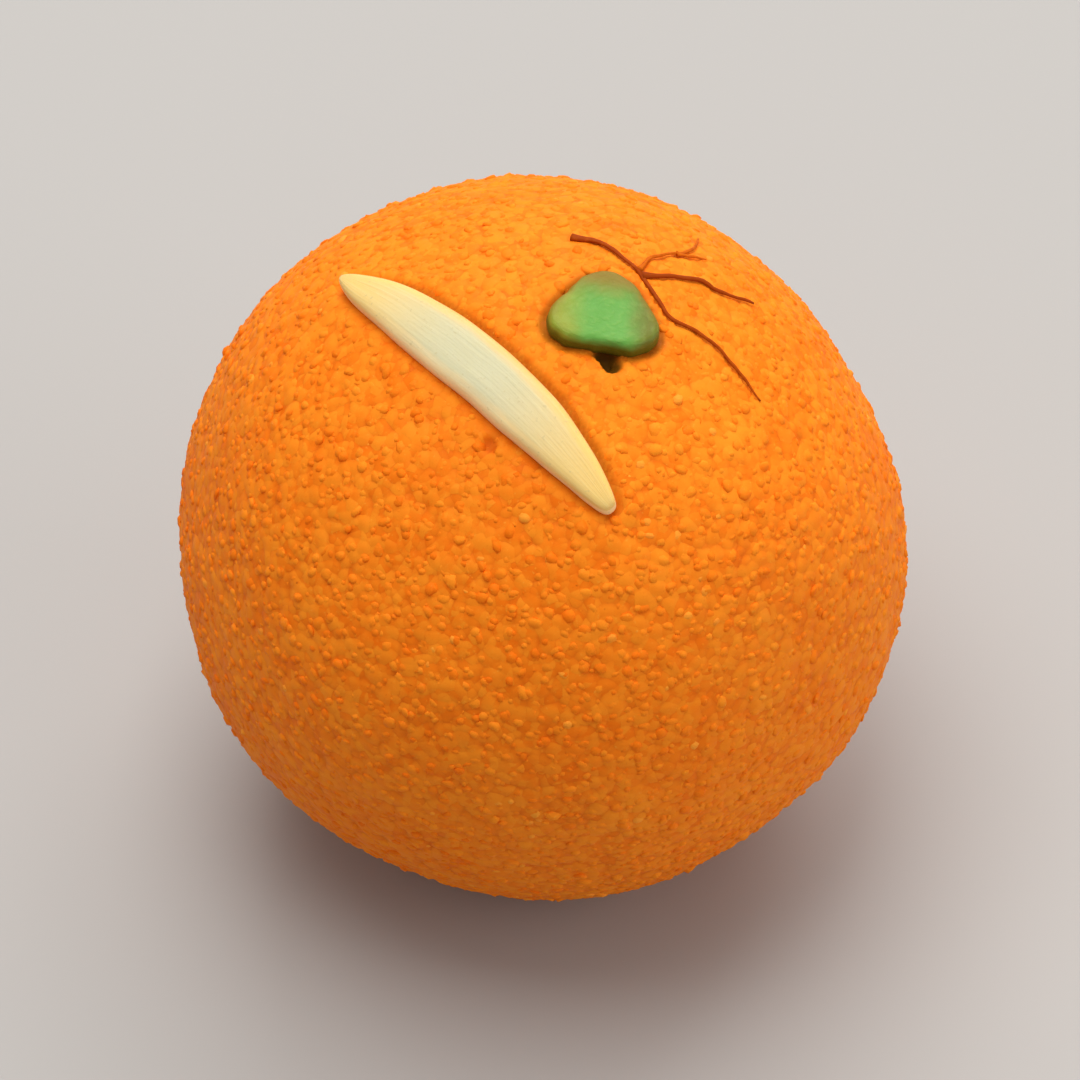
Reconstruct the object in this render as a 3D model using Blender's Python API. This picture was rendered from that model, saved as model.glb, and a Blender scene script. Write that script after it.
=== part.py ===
"""One motichoor ladoo, a ball of fine boondi grains pressed together by hand.

It stands on a small flat spot at the origin, +Z up. A blanched almond sliver and a pistachio half are
pressed into its crown, and four saffron threads lie on it. Plan places below are millimetres to the
right (x) and to the back (y) of the ball's top, seen from above.
"""

import math
import random

import bmesh
import bpy
from mathutils import Matrix, Vector, noise

MM = 0.001

# The ball
BALL_RADIUS = 22.0 * MM
REST_CUT = 1.3 * MM
LUMP_HEIGHT = 0.8 * MM
LUMP_FREQUENCY = 1.5
LUMP_SHIFT = Vector((8.7, 2.6, 4.0))

# The boondi grains, as bumps on the ball
GRAINS = 1500
GRAIN_SEED = 14
GRAIN_SCATTER = 0.22
PEAK_HEIGHT = 0.17 * MM
VALLEY_DEPTH = 0.15 * MM
HEIGHT_SPREAD = 0.35
MERGE_DISTANCE = 0.02 * MM

# The almond sliver, its bowed edge towards the pistachio and its nearly straight edge away from it
SLIVER_PLAN = (-4.3, -5.5)
SLIVER_HEADING = math.radians(-47.8)
SLIVER_LENGTH = 24.2 * MM
SLIVER_BOWED_REACH = 2.5 * MM
SLIVER_STRAIGHT_REACH = 1.5 * MM
SLIVER_HALF_THICKNESS = 1.1 * MM
SLIVER_SUNK = 1.1 * MM
SLIVER_BEND = 2.6 * MM
SLIVER_SIDE_POWER = 0.75
SLIVER_TOP_POWER = 0.7
SLIVER_END_POWER = 0.45
SLIVER_BOWED_TAPER = 0.5
SLIVER_BLUNT_TAPER = 0.4
SLIVER_STRAIGHT_POWER = 0.65
SLIVER_STRAIGHT_TAPER = -0.3

# The pistachio half, its cut face up
PISTACHIO_PLAN = (3.76, -2.1)
PISTACHIO_RADIUS = 3.0 * MM
PISTACHIO_THREE_SIDED = 0.15
PISTACHIO_STRETCH = (1.1, 0.95)
PISTACHIO_PROUD = 0.75 * MM
PISTACHIO_SUNK = 1.5 * MM
PISTACHIO_TURN = math.radians(86.0)
CUT_FACE_POWERS = (0.32, 0.55)
UNDERSIDE_POWERS = (0.8, 1.0)

# The pit at the pistachio's foot
PIT_PLAN = (4.3, -5.15)
PIT_RADIUS = 0.9 * MM
PIT_OUTSIDE = 0.2 * MM

# The saffron threads, each along a route of plan places
THREAD_RADIUS = 0.27 * MM
THREAD_LIFT = 0.1 * MM
THREAD_STEP = 0.9 * MM
THREAD_ROUTES = {
    "long": [
        (1.9, 4.6), (3.8, 3.9), (5.8, 1.8), (7.0, -0.3), (7.9, -1.4), (9.6, -1.8), (11.3, -2.9), (13.1, -4.6),
    ],
    "tail": [(6.0, 1.5), (7.6, 2.1), (9.6, 2.6), (10.6, 2.3), (12.7, 2.9)],
    "curl": [(5.8, 2.0), (6.6, 3.5), (7.9, 4.5), (9.0, 5.5), (9.5, 7.3)],
    "spur": [(8.1, 4.6), (9.9, 5.1)],
}

# The gap kept between pieces that touch
GAP = 0.3 * MM

SMOOTH_BELOW = math.radians(50.0)

BALL_CENTRE = Vector((0.0, 0.0, BALL_RADIUS - REST_CUT))


def clear_scene():
    for obj in list(bpy.data.objects):
        bpy.data.objects.remove(obj)


def make_collection(name):
    collection = bpy.data.collections.new(name)
    bpy.context.scene.collection.children.link(collection)
    return collection


def make_material(name, colour, roughness):
    material = bpy.data.materials.new(name)
    material.use_nodes = True
    shader = material.node_tree.nodes["Principled BSDF"]
    shader.inputs["Base Color"].default_value = (*colour, 1.0)
    shader.inputs["Roughness"].default_value = roughness
    shader.inputs["Metallic"].default_value = 0.0
    return material


def make_object(name, mesh, collection, material=None):
    obj = bpy.data.objects.new(name, mesh)
    collection.objects.link(obj)
    if material:
        mesh.materials.append(material)
    return obj


def mesh_from_bmesh(name, bm):
    bm.normal_update()
    bmesh.ops.recalc_face_normals(bm, faces=bm.faces[:])
    mesh = bpy.data.meshes.new(name)
    bm.to_mesh(mesh)
    bm.free()
    return mesh


def plan_direction(place):
    """The direction from the ball's centre to a plan place on its upper half."""
    x, y = place[0] * MM / BALL_RADIUS, place[1] * MM / BALL_RADIUS
    return Vector((x, y, math.sqrt(1.0 - x * x - y * y)))


def form_radius(direction):
    """How far the hand-rolled ball's surface is from its centre, before the grain."""
    return BALL_RADIUS + LUMP_HEIGHT * noise.noise(direction * LUMP_FREQUENCY + LUMP_SHIFT)


def surface_point(direction, lift=0.0):
    return BALL_CENTRE + direction * (form_radius(direction) + lift)


def seat_matrix(place, heading, height):
    """A local frame on the ball: +Z out of it, +X along the heading in plan, its origin this far out."""
    out = plan_direction(place)
    along = Vector((math.cos(heading), math.sin(heading), 0.0))
    along = (along - out * along.dot(out)).normalized()
    across = out.cross(along)
    turn = Matrix((along, across, out)).transposed().to_4x4()
    return Matrix.Translation(surface_point(out, height)) @ turn


def fibonacci_directions(count, scatter, draw):
    """Directions spread evenly over a sphere, each shifted at random by a share of their spacing."""
    golden = math.pi * (3.0 - math.sqrt(5.0))
    spacing = math.sqrt(4.0 * math.pi / count)
    for i in range(count):
        z = 1.0 - (2.0 * i + 1.0) / count
        ring = math.sqrt(1.0 - z * z)
        shift = Vector([draw.uniform(-1.0, 1.0) for _ in range(3)]) * scatter * spacing
        direction = Vector((ring * math.cos(golden * i), ring * math.sin(golden * i), z)) + shift
        yield direction.normalized()


def make_grain_cells():
    """A unit ball of triangles that meet in grain tops, each with valleys round it."""
    draw = random.Random(GRAIN_SEED)
    bm = bmesh.new()
    peaks = [bm.verts.new(d) for d in fibonacci_directions(GRAINS, GRAIN_SCATTER, draw)]
    bmesh.ops.convex_hull(bm, input=peaks)
    hull_edges = list(bm.edges)
    bmesh.ops.poke(bm, faces=list(bm.faces))
    bmesh.ops.rotate_edges(bm, edges=hull_edges, use_ccw=False)
    return bm, set(peaks), draw


def make_ball_mesh():
    """The ball with its grain, cut flat where it rests."""
    bm, peaks, draw = make_grain_cells()
    for vert in bm.verts:
        direction = vert.co.normalized()
        spread = 1.0 + HEIGHT_SPREAD * draw.uniform(-1.0, 1.0)
        relief = (PEAK_HEIGHT if vert in peaks else -VALLEY_DEPTH) * spread
        vert.co = surface_point(direction, relief)
    bmesh.ops.bisect_plane(
        bm,
        geom=bm.verts[:] + bm.edges[:] + bm.faces[:],
        plane_co=(0.0, 0.0, 0.0),
        plane_no=(0.0, 0.0, -1.0),
        clear_outer=True,
    )
    rim = [edge for edge in bm.edges if edge.is_boundary]
    bmesh.ops.edgeloop_fill(bm, edges=rim)
    bmesh.ops.remove_doubles(bm, verts=bm.verts[:], dist=MERGE_DISTANCE)
    return mesh_from_bmesh("ladoo_ball", bm)


def rounded(cosine, power):
    """Pushes a circle's coordinate towards a square's: 1 leaves the circle, less squares it."""
    return math.copysign(abs(cosine) ** power, cosine)


def make_sliver_mesh():
    """A sliver cut lengthwise, one long edge bowed and the other nearly straight, bent to the ball."""
    bm = bmesh.new()
    bmesh.ops.create_uvsphere(bm, u_segments=16, v_segments=22, radius=1.0)
    for vert in bm.verts:
        along = vert.co.z
        ring = math.hypot(vert.co.x, vert.co.y)
        angle = math.atan2(vert.co.y, vert.co.x)
        taper = SLIVER_BOWED_TAPER if along > 0.0 else SLIVER_BLUNT_TAPER
        bowed = SLIVER_BOWED_REACH * ring ** (1.0 + taper * abs(along))
        straight = SLIVER_STRAIGHT_REACH * ring ** (SLIVER_STRAIGHT_POWER + SLIVER_STRAIGHT_TAPER * along)
        side = rounded(math.cos(angle), SLIVER_SIDE_POWER)
        across = 0.5 * (bowed - straight) + 0.5 * (bowed + straight) * side
        thickness = SLIVER_HALF_THICKNESS * ring**SLIVER_END_POWER
        height = thickness * rounded(math.sin(angle), SLIVER_TOP_POWER)
        vert.co = (0.5 * SLIVER_LENGTH * along, across, height - SLIVER_BEND * along * along)
    return mesh_from_bmesh("almond_sliver", bm)


def make_pistachio_mesh():
    """Half a kernel cut across, three-sided in plan, its cut face nearly flat and its underside round."""
    bm = bmesh.new()
    bmesh.ops.create_uvsphere(bm, u_segments=24, v_segments=14, radius=1.0)
    half_height = 0.5 * (PISTACHIO_PROUD + PISTACHIO_SUNK)
    for vert in bm.verts:
        ring_power, height_power = CUT_FACE_POWERS if vert.co.z > 0.0 else UNDERSIDE_POWERS
        ring = math.hypot(vert.co.x, vert.co.y)
        angle = math.atan2(vert.co.y, vert.co.x)
        three = 1.0 + PISTACHIO_THREE_SIDED * math.cos(3.0 * (angle - PISTACHIO_TURN))
        reach = PISTACHIO_RADIUS * three * ring**ring_power
        height = half_height * rounded(vert.co.z, height_power)
        wide, deep = PISTACHIO_STRETCH
        vert.co = (wide * reach * math.cos(angle), deep * reach * math.sin(angle), height)
    return mesh_from_bmesh("pistachio_half", bm)


def smooth_route(route, step):
    """Points this far apart on a smooth curve through a route of plan places."""
    ends = [route[0]] + route + [route[-1]]
    points = []
    for i in range(1, len(ends) - 2):
        a, b, c, d = (Vector(p) for p in ends[i - 1 : i + 3])
        pieces = max(2, round((c - b).length * MM / step))
        for k in range(pieces):
            t = k / pieces
            points.append(0.5 * (2.0 * b + (c - a) * t + (2.0 * a - 5.0 * b + 4.0 * c - d) * t**2
                                 + (3.0 * b - a - 3.0 * c + d) * t**3))
    points.append(Vector(route[-1]))
    return points


def make_thread(name, route, collection):
    """One saffron thread as a tube that lies half in the ball, made a mesh so that it can be joined."""
    places = smooth_route(route, THREAD_STEP)
    data = bpy.data.curves.new(name, "CURVE")
    data.dimensions = "3D"
    data.bevel_depth = THREAD_RADIUS
    data.bevel_resolution = 2
    data.use_fill_caps = True
    spline = data.splines.new("POLY")
    spline.points.add(len(places) - 1)
    for point, place in zip(spline.points, places):
        point.co = (*surface_point(plan_direction(place), THREAD_LIFT), 1.0)
    curve = bpy.data.objects.new(name + "_curve", data)
    bpy.context.scene.collection.objects.link(curve)
    graph = bpy.context.evaluated_depsgraph_get()
    mesh = bpy.data.meshes.new_from_object(curve.evaluated_get(graph))
    bpy.data.objects.remove(curve)
    bm = bmesh.new()
    bm.from_mesh(mesh)
    bmesh.ops.remove_doubles(bm, verts=bm.verts[:], dist=MERGE_DISTANCE)
    bmesh.ops.recalc_face_normals(bm, faces=bm.faces[:])
    bm.to_mesh(mesh)
    bm.free()
    return make_object(name, mesh, collection)


def make_cutter(obj, collection):
    """A copy of a topping grown by the gap, which presses its seat into the ball."""
    cutter = make_object(obj.name + "_seat", obj.data.copy(), collection)
    cutter.matrix_world = obj.matrix_world.copy()
    grow = cutter.modifiers.new("Grow", "DISPLACE")
    grow.strength = GAP
    grow.mid_level = 0.0
    hide_helper(cutter)
    return cutter


def make_pit_cutter(collection):
    bm = bmesh.new()
    bmesh.ops.create_icosphere(bm, subdivisions=2, radius=PIT_RADIUS)
    cutter = make_object("pit", mesh_from_bmesh("pit", bm), collection)
    cutter.location = surface_point(plan_direction(PIT_PLAN), PIT_OUTSIDE - 0.5 * PIT_RADIUS)
    hide_helper(cutter)
    return cutter


def hide_helper(obj):
    obj.hide_render = True
    obj.display_type = "WIRE"


def add_boolean(obj, name, operation, collection):
    boolean = obj.modifiers.new(name, "BOOLEAN")
    boolean.operation = operation
    boolean.solver = "EXACT"
    boolean.operand_type = "COLLECTION"
    boolean.collection = collection
    return boolean


def apply_modifiers(obj):
    graph = bpy.context.evaluated_depsgraph_get()
    mesh = bpy.data.meshes.new_from_object(obj.evaluated_get(graph))
    obj.modifiers.clear()
    obj.data = mesh


def main():
    clear_scene()
    parts = make_collection("ladoo")
    cutters = make_collection("ladoo_cutters")
    threads = make_collection("ladoo_threads")

    boondi = make_material("boondi", (0.92, 0.33, 0.02), 0.5)
    almond = make_material("almond", (0.87, 0.78, 0.50), 0.45)
    pistachio = make_material("pistachio", (0.22, 0.50, 0.11), 0.4)

    sliver = make_object("almond_sliver", make_sliver_mesh(), parts, almond)
    sliver.matrix_world = seat_matrix(SLIVER_PLAN, SLIVER_HEADING, SLIVER_HALF_THICKNESS - SLIVER_SUNK)

    kernel = make_object("pistachio_half", make_pistachio_mesh(), parts, pistachio)
    kernel_height = 0.5 * (PISTACHIO_PROUD - PISTACHIO_SUNK)
    kernel.matrix_world = seat_matrix(PISTACHIO_PLAN, 0.0, kernel_height)

    ball = make_object("ladoo_ball", make_ball_mesh(), parts, boondi)
    for name, route in THREAD_ROUTES.items():
        make_thread("thread_" + name, route, threads)
    add_boolean(ball, "Threads", "UNION", threads)
    for topping in (sliver, kernel):
        make_cutter(topping, cutters)
    make_pit_cutter(cutters)
    add_boolean(ball, "Seats", "DIFFERENCE", cutters)
    apply_modifiers(ball)
    for helper in list(threads.objects) + list(cutters.objects):
        bpy.data.objects.remove(helper)

    for obj in parts.objects:
        obj.data.shade_smooth()
        obj.data.set_sharp_from_angle(angle=SMOOTH_BELOW)


main()
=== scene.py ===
"""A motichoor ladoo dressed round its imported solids: a ball of pressed boondi with loose grains on it, a
blanched almond sliver and half a pistachio pressed into its crown, and saffron threads.

The file is laid out as an add-on. Each piece has an operator, and the panel in the 3D view's sidebar
lists them. Plan places are millimetres to the right (x) and to the back (y) of the ball's top.
"""

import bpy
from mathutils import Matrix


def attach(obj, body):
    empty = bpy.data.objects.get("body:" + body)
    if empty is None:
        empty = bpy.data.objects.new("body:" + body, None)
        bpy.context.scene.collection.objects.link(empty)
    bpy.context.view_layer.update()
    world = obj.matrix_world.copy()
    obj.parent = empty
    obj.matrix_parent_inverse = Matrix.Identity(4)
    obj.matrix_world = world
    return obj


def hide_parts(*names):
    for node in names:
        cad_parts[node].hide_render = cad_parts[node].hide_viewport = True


bl_info = {
    "name": "Motichoor Ladoo",
    "version": (1, 0, 0),
    "blender": (4, 5, 0),
    "location": "View3D > Sidebar > Ladoo",
    "description": "Builds a motichoor ladoo with its nuts and saffron on a plain stage",
    "category": "Add Mesh",
}

import math

import bpy
from bpy.props import FloatProperty, FloatVectorProperty, IntProperty, PointerProperty
from mathutils import Matrix, Vector, noise

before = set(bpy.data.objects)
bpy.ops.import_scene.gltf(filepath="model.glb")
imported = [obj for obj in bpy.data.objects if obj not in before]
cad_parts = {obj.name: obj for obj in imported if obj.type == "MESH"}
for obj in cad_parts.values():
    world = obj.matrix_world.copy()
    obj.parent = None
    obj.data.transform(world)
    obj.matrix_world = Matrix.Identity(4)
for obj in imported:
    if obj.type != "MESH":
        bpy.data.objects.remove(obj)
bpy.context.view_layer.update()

BODY = "root"
MM = 0.001
DRIFT_SEED = 5

# The ball's form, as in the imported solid
BALL_RADIUS = 22.0 * MM
REST_CUT = 1.3 * MM
LUMP_HEIGHT = 0.8 * MM
LUMP_FREQUENCY = 1.5
LUMP_SHIFT = Vector((8.7, 2.6, 4.0))
BALL_CENTRE = Vector((0.0, 0.0, BALL_RADIUS - REST_CUT))

# The almond sliver's form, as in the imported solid
SLIVER_PLAN = (-4.3, -5.5)
SLIVER_HEADING = math.radians(-47.8)
SLIVER_LENGTH = 24.2 * MM
SLIVER_BOWED_REACH = 2.5 * MM
SLIVER_STRAIGHT_REACH = 1.5 * MM
SLIVER_HALF_THICKNESS = 1.1 * MM
SLIVER_BEND = 2.6 * MM
SLIVER_SIDE_POWER = 0.75
SLIVER_TOP_POWER = 0.7
SLIVER_END_POWER = 0.45
SLIVER_BOWED_TAPER = 0.5
SLIVER_BLUNT_TAPER = 0.4
SLIVER_STRAIGHT_POWER = 0.65
SLIVER_STRAIGHT_TAPER = -0.3

# The pistachio half's form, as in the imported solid
PISTACHIO_PLAN = (3.76, -2.1)
PISTACHIO_RADIUS = 3.0 * MM
PISTACHIO_THREE_SIDED = 0.15
PISTACHIO_STRETCH = Vector((1.1, 0.95, 1.0))
PISTACHIO_TURN = math.radians(86.0)
PISTACHIO_HALF_HEIGHT = 1.125 * MM
PISTACHIO_LIFT = -0.375 * MM

# The saffron threads' routes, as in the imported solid
THREAD_LIFT = 0.1 * MM
THREAD_STEP = 0.35 * MM
THREAD_ROUTES = {
    "long": [
        (1.9, 4.6), (3.8, 3.9), (5.8, 1.8), (7.0, -0.3),
        (7.9, -1.4), (9.6, -1.8), (11.3, -2.9), (13.1, -4.6),
    ],
    "tail": [(6.0, 1.5), (7.6, 2.1), (9.6, 2.6), (10.6, 2.3), (12.7, 2.9)],
    "curl": [(5.8, 2.0), (6.6, 3.5), (7.9, 4.5), (9.0, 5.5), (9.5, 7.3)],
    "spur": [(8.1, 4.6), (9.9, 5.1)],
}

# Hollows left where grains broke out: plan place, radius and depth, in millimetres
PITS = (
    ((4.0, -4.6), 0.95, 1.0),
    ((4.28, -5.25), 0.78, 0.9),
)
DENTS = (
    ((-3.05, -10.1), 0.7, 0.3),
)


def plan_direction(place):
    """The direction from the ball's centre to a plan place on its upper half."""
    x, y = place[0] * MM / BALL_RADIUS, place[1] * MM / BALL_RADIUS
    return Vector((x, y, math.sqrt(1.0 - x * x - y * y)))


def form_radius(direction):
    """How far the hand-rolled ball's surface is from its centre, before the grain."""
    return BALL_RADIUS + LUMP_HEIGHT * noise.noise(direction * LUMP_FREQUENCY + LUMP_SHIFT)


def surface_point(direction, lift=0.0):
    return BALL_CENTRE + direction * (form_radius(direction) + lift)


def seat_matrix(place, heading, height):
    """A local frame on the ball: +Z out of it, +X along the heading in plan, its origin this far out."""
    out = plan_direction(place)
    along = Vector((math.cos(heading), math.sin(heading), 0.0))
    along = (along - out * along.dot(out)).normalized()
    across = out.cross(along)
    turn = Matrix((along, across, out)).transposed().to_4x4()
    return Matrix.Translation(surface_point(out, height)) @ turn


def rounded(cosine, power):
    """Pushes a circle's coordinate towards a square's: 1 leaves the circle, less squares it."""
    return math.copysign(abs(cosine) ** power, cosine)


def drift(place):
    """Three smooth random numbers at a place, which are the same each run."""
    noise.seed_set(DRIFT_SEED)
    return noise.noise_vector(place)


class Field:
    """A node's output, on which Python arithmetic adds Math nodes."""

    def __init__(self, nodes, socket):
        self.nodes = nodes
        self.socket = socket

    def __add__(self, other):
        return self.nodes.maths("ADD", self, other)

    def __sub__(self, other):
        return self.nodes.maths("SUBTRACT", self, other)

    def __mul__(self, other):
        return self.nodes.maths("MULTIPLY", self, other)

    def __rsub__(self, other):
        return self.nodes.maths("SUBTRACT", other, self)

    __radd__ = __add__
    __rmul__ = __mul__


class Nodes:
    """Adds nodes to one tree, of a material or of geometry nodes."""

    def __init__(self, tree):
        self.tree = tree

    def add(self, kind, settings=None, inputs=None, output=0):
        """One node of this type. Its settings come first, then the values or links of its sockets."""
        node = self.tree.nodes.new(kind)
        for name, value in (settings or {}).items():
            setattr(node, name, value)
        for key, value in (inputs or {}).items():
            socket = self.socket(node.inputs, key)
            for one in value if isinstance(value, list) else [value]:
                if isinstance(one, Field):
                    self.tree.links.new(one.socket, socket)
                else:
                    socket.default_value = one
        return None if output is None else Field(self, self.socket(node.outputs, output))

    @staticmethod
    def socket(sockets, key):
        if isinstance(key, int):
            return sockets[key]
        return next(socket for socket in sockets if socket.enabled and socket.name == key)

    def maths(self, operation, *values):
        return self.add("ShaderNodeMath", {"operation": operation}, dict(enumerate(values)))

    def vector(self, operation, *values, output=0):
        return self.add("ShaderNodeVectorMath", {"operation": operation}, dict(enumerate(values)), output)

    def scaled(self, vector, factor):
        return self.add("ShaderNodeVectorMath", {"operation": "SCALE"}, {0: vector, "Scale": factor})

    def parts(self, vector):
        """A vector's or colour's three numbers."""
        split = self.add("ShaderNodeSeparateXYZ", {}, {"Vector": vector})
        return [Field(self, socket) for socket in split.socket.node.outputs]

    def fade(self, value, low, high, start=0.0, end=1.0):
        """Goes smoothly from start to end as the value goes from low to high."""
        reach = {"Value": value, "From Min": low, "From Max": high, "To Min": start, "To Max": end}
        return self.add("ShaderNodeMapRange", {"interpolation_type": "SMOOTHSTEP"}, reach, "Result")

    def noise(self, place, size, detail=2.0, output="Fac"):
        """Soft noise of this feature size, in the place's own units."""
        inputs = {"Vector": place, "Scale": 1.0 / size, "Detail": detail}
        return self.add("ShaderNodeTexNoise", {}, inputs, output)

    def mix(self, share, first, second):
        inputs = {"Factor": share, "A": first, "B": second}
        return self.add("ShaderNodeMix", {"data_type": "RGBA"}, inputs, "Result")


def rgba(colour):
    return (*colour, 1.0)


def new_material(name, **uniform):
    """A material with one Principled shader, whose uniform values are set on its own sockets."""
    material = bpy.data.materials.new(name)
    material.use_nodes = True
    shader = material.node_tree.nodes["Principled BSDF"]
    for socket, value in uniform.items():
        shader.inputs[socket.replace("_", " ")].default_value = value
    return material, Nodes(material.node_tree), shader


def dress(nodes, shader, colour, roughness, height, strength):
    """Feeds a Principled shader its colour, its roughness and a bump of this height in millimetres."""
    bump = nodes.add("ShaderNodeBump", {}, {"Strength": strength, "Distance": MM, "Height": height})
    for name, field in (("Base Color", colour), ("Roughness", roughness), ("Normal", bump)):
        nodes.tree.links.new(field.socket, shader.inputs[name])


def ball_place(nodes, position):
    """The direction from the ball's centre, the place on a plain ball in millimetres, and the way there."""
    from_centre = nodes.vector("SUBTRACT", position, BALL_CENTRE)
    direction = nodes.vector("NORMALIZE", from_centre)
    return direction, nodes.scaled(direction, BALL_RADIUS / MM), from_centre


def grain_layer(nodes, place, size, dome):
    """Domed grains of one size in millimetres: their height at a place, and three draws for each."""
    cell = {"Vector": place, "Scale": 1.0 / size, "Randomness": 1.0}
    cells = nodes.add("ShaderNodeTexVoronoi", {}, cell, "Color")
    apart = Field(nodes, cells.socket.node.outputs["Distance"])
    draws = nodes.parts(cells)
    return dome * (1.0 - apart * apart * DOME_FALL) + (draws[0] - 0.5) * GRAIN_STEP, draws


def pressed_grains(nodes, place):
    """Boondi pressed together: the surface's height in millimetres, and three draws for each grain."""
    sway = nodes.vector("SUBTRACT", nodes.noise(place, SWAY_SIZE, 0.0, "Color"), (0.5, 0.5, 0.5))
    place = nodes.vector("ADD", place, nodes.scaled(sway, SWAY))
    large, draws = grain_layer(nodes, place, LARGE_GRAIN, LARGE_DOME)
    small, other_draws = grain_layer(nodes, place, SMALL_GRAIN, SMALL_DOME)
    on_top = nodes.fade(large - small, -0.5 * GRAIN_MELD, 0.5 * GRAIN_MELD)
    draws = [other + (one - other) * on_top for one, other in zip(draws, other_draws)]
    return nodes.maths("SMOOTH_MAX", large, small, GRAIN_MELD), draws


def hollow_share(nodes, direction, hollow, rim=0.35):
    """1 in the middle of a hollow and 0 outside it. The rim is where its middle ends, as a share."""
    place, radius, _ = hollow
    apart = nodes.vector("DISTANCE", direction, plan_direction(place), output="Value")
    return nodes.fade(apart * (BALL_RADIUS / MM), rim * radius, radius, 1.0, 0.0)


def deselect_all():
    if bpy.context.mode != "OBJECT":
        bpy.ops.object.mode_set(mode="OBJECT")
    bpy.ops.object.select_all(action="DESELECT")


def activate(obj):
    deselect_all()
    obj.select_set(True)
    bpy.context.view_layer.objects.active = obj


def apply_modifier(obj, kind, **settings):
    """Adds a modifier with these settings and applies it."""
    activate(obj)
    modifier = obj.modifiers.new(kind.title(), kind)
    for name, value in settings.items():
        setattr(modifier, name, value)
    bpy.ops.object.modifier_apply(modifier=modifier.name)


def edit(obj):
    activate(obj)
    bpy.ops.object.mode_set(mode="EDIT")


def draw_out(stations):
    """Extrudes the selected section along its stations, each a middle and the section's scale there."""
    for (middle, scale), (next_middle, next_scale) in zip(stations, stations[1:]):
        ratio = [after / before for before, after in zip(scale, next_scale)]
        bpy.ops.mesh.extrude_region_move(TRANSFORM_OT_translate={"value": next_middle - middle})
        bpy.ops.transform.resize(value=ratio, center_override=next_middle)


def place_section(obj, station):
    """Moves and sizes the whole starting section, modelled round the origin, to its first station."""
    middle, scale = station
    bpy.ops.mesh.select_all(action="SELECT")
    bpy.ops.transform.resize(value=scale, center_override=(0.0, 0.0, 0.0))
    bpy.ops.transform.translate(value=middle)


def put_in_order(obj):
    """Numbers a mesh's vertices and faces by place, because edit mode numbers them anew each run."""
    verts = obj.data.vertices
    order = sorted(range(len(verts)), key=lambda i: tuple(verts[i].co))
    number = {old: new for new, old in enumerate(order)}
    faces = []
    for face in obj.data.polygons:
        corners = [number[i] for i in face.vertices]
        first = corners.index(min(corners))
        faces.append(corners[first:] + corners[:first])
    points = [verts[i].co.copy() for i in order]
    obj.data.clear_geometry()
    obj.data.from_pydata(points, [], sorted(faces))


def store_place(obj, values):
    """Keeps each vertex's place on its piece, which the material reads."""
    attribute = obj.data.attributes.new("place", "FLOAT_VECTOR", "POINT")
    attribute.data.foreach_set("vector", [number for value in values for number in value])


def settle(obj, name, material, seat=None):
    """Leaves a finished piece's object at the origin, unturned, with its place in its mesh."""
    if seat:
        obj.matrix_world = seat
    activate(obj)
    bpy.ops.object.transform_apply(location=True, rotation=True, scale=True)
    bpy.ops.object.shade_smooth()
    obj.name = name
    obj.data.name = name
    obj.data.materials.clear()
    obj.data.materials.append(material)
    return obj


def piece(name):
    """A piece that another one is fitted to."""
    if name not in bpy.data.objects:
        raise RuntimeError(name + " is made first")
    return bpy.data.objects[name]


def relief_tree(name):
    """A geometry nodes tree that takes a mesh, and its incoming mesh."""
    tree = bpy.data.node_groups.new(name, "GeometryNodeTree")
    tree.interface.new_socket("Geometry", in_out="INPUT", socket_type="NodeSocketGeometry")
    tree.interface.new_socket("Geometry", in_out="OUTPUT", socket_type="NodeSocketGeometry")
    nodes = Nodes(tree)
    return nodes, nodes.add("NodeGroupInput", output="Geometry")


def apply_relief(obj, nodes, geometry):
    """Gives the tree its result, and applies it to a piece."""
    nodes.add("NodeGroupOutput", {}, {"Geometry": geometry}, None)
    apply_modifier(obj, "NODES", node_group=nodes.tree)


# Blanched almond

SLIVER_SIDES = 16
SLIVER_STATIONS = 22
SLIVER_END_SHARE = 0.35
SLIVER_UNDERSIDE = 1.6
KNIFE_WANDER_SIZE = 3.0 * MM
KNIFE_WANDER_UP = 0.6
FIBRE_COLOUR = (0.84, 0.76, 0.47)
SPOT_COLOUR = (0.50, 0.40, 0.20)


class AlmondSettings(bpy.types.PropertyGroup):
    dish: FloatProperty(
        name="Dish", description="How far the cut face is hollow along its middle", default=0.1 * MM,
        unit="LENGTH", precision=5,
    )
    unevenness: FloatProperty(
        name="Unevenness", description="How far the knife wandered along the sliver", default=0.09 * MM,
        unit="LENGTH", precision=5,
    )
    flesh: FloatVectorProperty(
        name="Flesh", description="Colour of the cut face's middle", subtype="COLOR",
        default=(0.585, 0.55, 0.345), min=0.0, max=1.0,
    )
    rim: FloatVectorProperty(
        name="Rim", description="Colour along the bowed edge", subtype="COLOR",
        default=(0.77, 0.49, 0.15), min=0.0, max=1.0,
    )
    tips: FloatVectorProperty(
        name="Tips", description="Colour towards the two ends", subtype="COLOR",
        default=(0.86, 0.56, 0.145), min=0.0, max=1.0,
    )
    # Painted bounce glow: warm orange light from the ball, painted on the sliver's straight edge and lower
    # side
    painted_bounce_glow: FloatVectorProperty(
        name="Stained", description="Colour along the straight edge, stained by the ghee", subtype="COLOR",
        default=(1.0, 0.72, 0.36), min=0.0, max=1.0,
    )


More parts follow.
